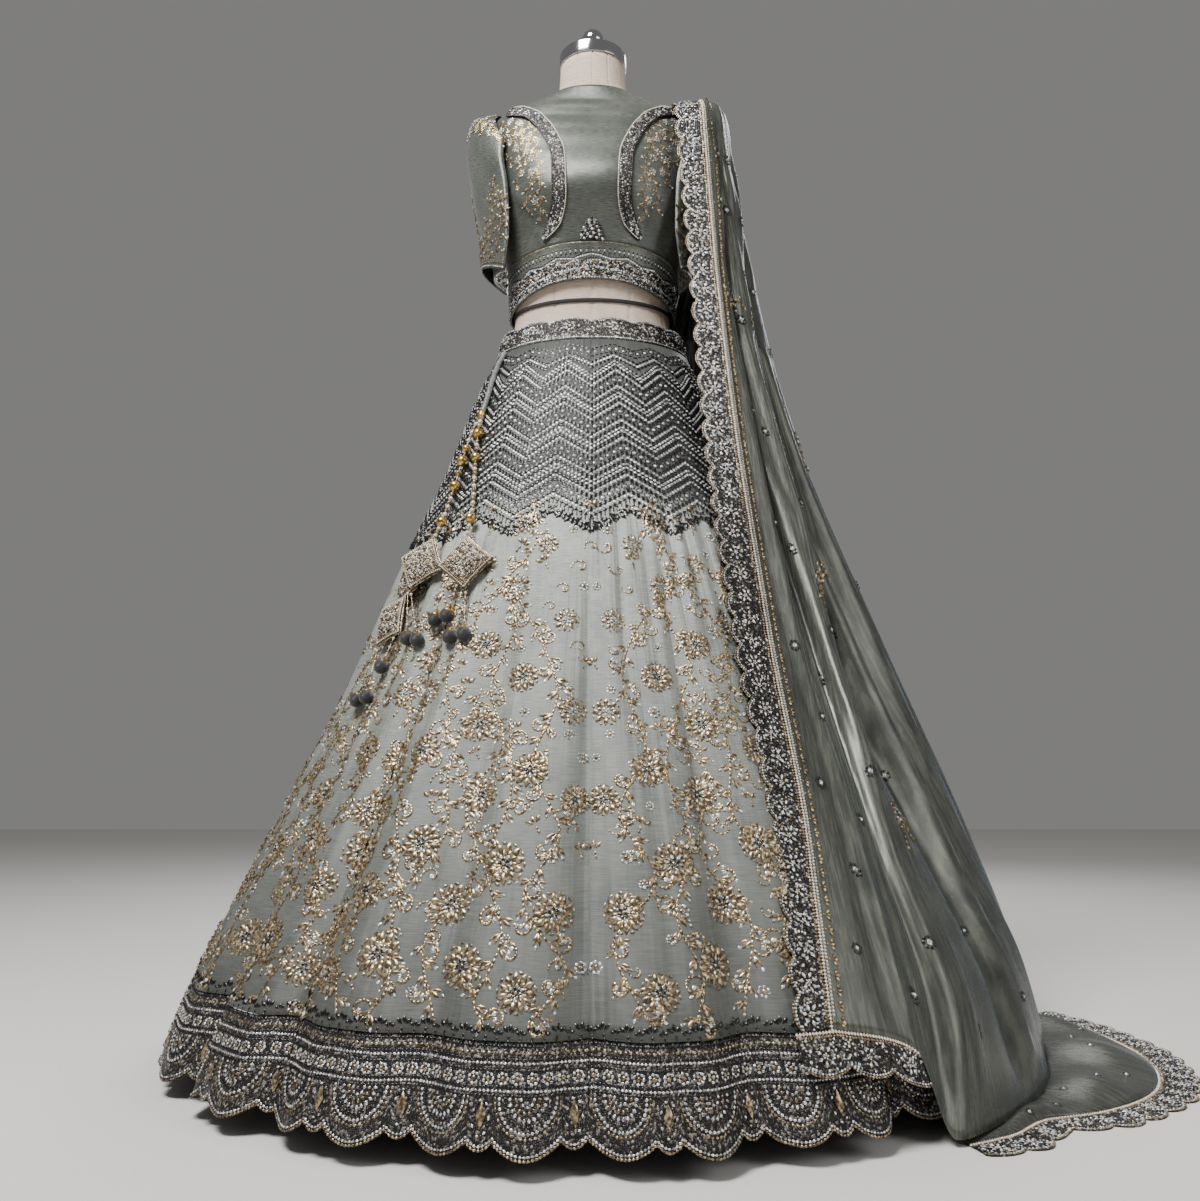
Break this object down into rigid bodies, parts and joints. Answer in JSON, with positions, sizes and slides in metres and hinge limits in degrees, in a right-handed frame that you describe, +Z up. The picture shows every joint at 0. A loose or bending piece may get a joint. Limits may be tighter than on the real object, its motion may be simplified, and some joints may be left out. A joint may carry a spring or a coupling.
{
  "type": "lehenga choli on a dress form",
  "caption": "Flared embroidered long skirt and cropped blouse with a draped stole, worn by a limbless dress form that stands on a round base.",
  "frame": {"origin": "centre of the round stand's underside, on the floor", "axes": "+Z up; -Y is the front; +X is the wearer's left, the side the dupatta falls on"},
  "size_m": [1.4361, 1.2283, 1.6733],
  "materials": {
    "form_cotton": "matt woven cotton",
    "chrome": "polished",
    "black_tape": "matt tape",
    "stand_metal": "satin black",
    "grey_silk": "silk with a soft sheen, embroidered",
    "bead_embroidery": "dark net covered with metallic beads",
    "olive_satin": "satin with a strong sheen",
    "grey_cord": "satin cord",
    "gold_beads": "polished beads",
    "dark_balls": "matt cloth"
  },
  "bodies": {
    "root": {"choli_back": "grey_silk", "choli_band_back": "bead_embroidery", "choli_band_front": "bead_embroidery", "choli_centre_motif": "bead_embroidery", "choli_front": "grey_silk", "dori": "grey_cord", "dupatta_back_fall": "olive_satin", "dupatta_border_back": "bead_embroidery", "dupatta_border_far": "bead_embroidery", "dupatta_border_floor": "bead_embroidery", "dupatta_border_front": "bead_embroidery", "dupatta_border_hanging": "bead_embroidery", "dupatta_front_fall": "olive_satin", "dupatta_train": "olive_satin", "form_torso": "form_cotton", "hem_border_01": "bead_embroidery", "hem_border_02": "bead_embroidery", "hem_border_03": "bead_embroidery", "hem_border_04": "bead_embroidery", "hem_border_05": "bead_embroidery", "hem_border_06": "bead_embroidery", "hem_border_07": "bead_embroidery", "hem_border_08": "bead_embroidery", "hem_border_09": "bead_embroidery", "hem_border_10": "bead_embroidery", "kali_01": "grey_silk", "kali_02": "grey_silk", "kali_03": "grey_silk", "kali_04": "grey_silk", "kali_05": "grey_silk", "kali_06": "grey_silk", "kali_07": "grey_silk", "kali_08": "grey_silk", "kali_09": "grey_silk", "kali_10": "grey_silk", "lapel_left": "bead_embroidery", "lapel_right": "bead_embroidery", "latkan_ball_1": "dark_balls", "latkan_ball_2": "dark_balls", "latkan_ball_3": "dark_balls", "latkan_ball_4": "dark_balls", "latkan_ball_5": "dark_balls", "latkan_ball_6": "dark_balls", "latkan_ball_7": "dark_balls", "latkan_ball_8": "dark_balls", "latkan_ball_9": "dark_balls", "latkan_pad_1": "bead_embroidery", "latkan_pad_2": "bead_embroidery", "latkan_pad_3": "bead_embroidery", "latkan_pad_4": "bead_embroidery", "latkan_strand_1": "gold_beads", "latkan_strand_2": "gold_beads", "lehenga_waistband": "bead_embroidery", "neck_cap": "chrome", "neck_knob": "chrome", "sleeve_left": "grey_silk", "sleeve_right": "grey_silk", "stand_base": "stand_metal", "stand_pole": "stand_metal", "waist_tape": "black_tape"}
  },
  "joints": []
}
